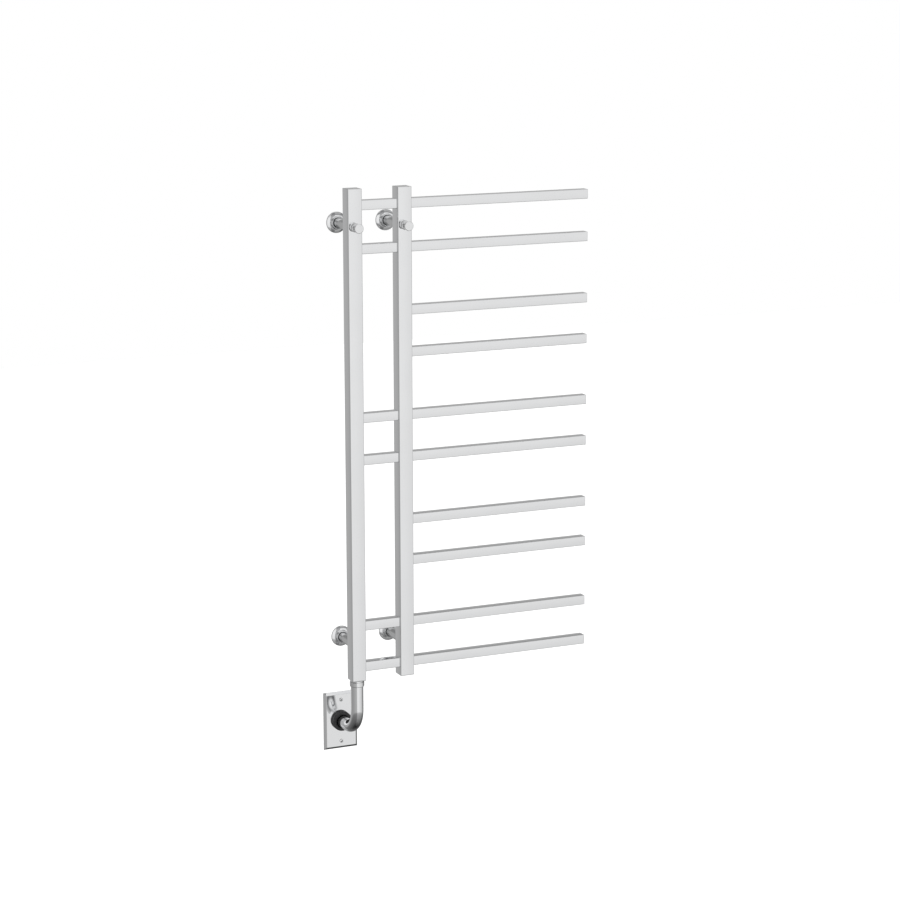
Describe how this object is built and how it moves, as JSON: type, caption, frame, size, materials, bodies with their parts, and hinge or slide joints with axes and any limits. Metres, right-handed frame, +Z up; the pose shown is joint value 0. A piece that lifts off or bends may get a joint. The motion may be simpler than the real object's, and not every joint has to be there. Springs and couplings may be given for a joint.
{
  "type": "towel warmer rack",
  "caption": "Wall-hung electric towel warmer: square posts with square rails open at one side, round standoff mounts, clamp knobs and a bent supply tube into a wall plate.",
  "frame": {"origin": "middle of the upper left bracket's back face, on the wall plane", "axes": "+X to the right along the rails, +Y into the wall, +Z up"},
  "size_m": [0.5185, 0.1466, 1.0967],
  "materials": {
    "chrome": "polished",
    "steel": "machined",
    "rubber": "matte",
    "silicone": "satin",
    "live_insulation": "satin",
    "neutral_insulation": "satin",
    "earth_insulation": "satin"
  },
  "bodies": {
    "rack": {"left_post": "chrome", "right_post": "chrome", "left_post_top_plug": "chrome", "right_post_top_plug": "chrome", "right_post_bottom_plug": "chrome", "rung_01": "chrome", "rung_02": "chrome", "rung_05": "chrome", "rung_06": "chrome", "rung_09": "chrome", "rung_10": "chrome", "rail_01": "chrome", "rail_02": "chrome", "rail_03": "chrome", "rail_04": "chrome", "rail_05": "chrome", "rail_06": "chrome", "rail_07": "chrome", "rail_08": "chrome", "rail_09": "chrome", "rail_10": "chrome", "top_left_bracket": "steel", "top_left_cover": "chrome", "top_left_grub_screw": "steel", "top_right_bracket": "steel", "top_right_cover": "chrome", "top_right_grub_screw": "steel", "bottom_left_bracket": "steel", "bottom_left_cover": "chrome", "bottom_left_grub_screw": "steel", "bottom_right_bracket": "steel", "bottom_right_cover": "chrome", "bottom_right_grub_screw": "steel", "left_post_bush": "steel", "collar_nut": "chrome", "elbow_tube": "chrome", "wall_plate": "chrome", "upper_plate_screw": "chrome", "lower_plate_screw": "chrome", "grommet": "rubber", "heating_cable": "silicone", "thermal_cutout": "steel", "neutral_splice": "neutral_insulation", "live_lead": "live_insulation", "neutral_lead": "neutral_insulation", "earth_lead": "earth_insulation", "earth_stud": "steel"},
    "top_left_washer": {"top_left_washer": "chrome"},
    "top_left_knob": {"top_left_knob": "chrome"},
    "top_right_washer": {"top_right_washer": "chrome"},
    "top_right_knob": {"top_right_knob": "chrome"}
  },
  "joints": [
    {"name": "top_left_washer_slide", "type": "slide", "parent": "rack", "child": "top_left_washer", "axis": [0, -1, 0], "range_m": [0, 0.005]},
    {"name": "top_left_knob_turn", "type": "hinge", "parent": "top_left_washer", "child": "top_left_knob", "pos_m": [0, -0.096, 0], "axis": [0, -1, 0], "range_deg": [0, 1440]},
    {"name": "top_right_washer_slide", "type": "slide", "parent": "rack", "child": "top_right_washer", "axis": [0, -1, 0], "range_m": [0, 0.005]},
    {"name": "top_right_knob_turn", "type": "hinge", "parent": "top_right_washer", "child": "top_right_knob", "pos_m": [0.099, -0.096, 0], "axis": [0, -1, 0], "range_deg": [0, 1440]}
  ],
  "couplings": [
    {"joint": "top_left_knob_turn", "follows": "top_left_washer_slide", "rad_per_m": 5026.5},
    {"joint": "top_right_knob_turn", "follows": "top_right_washer_slide", "rad_per_m": 5026.5}
  ]
}
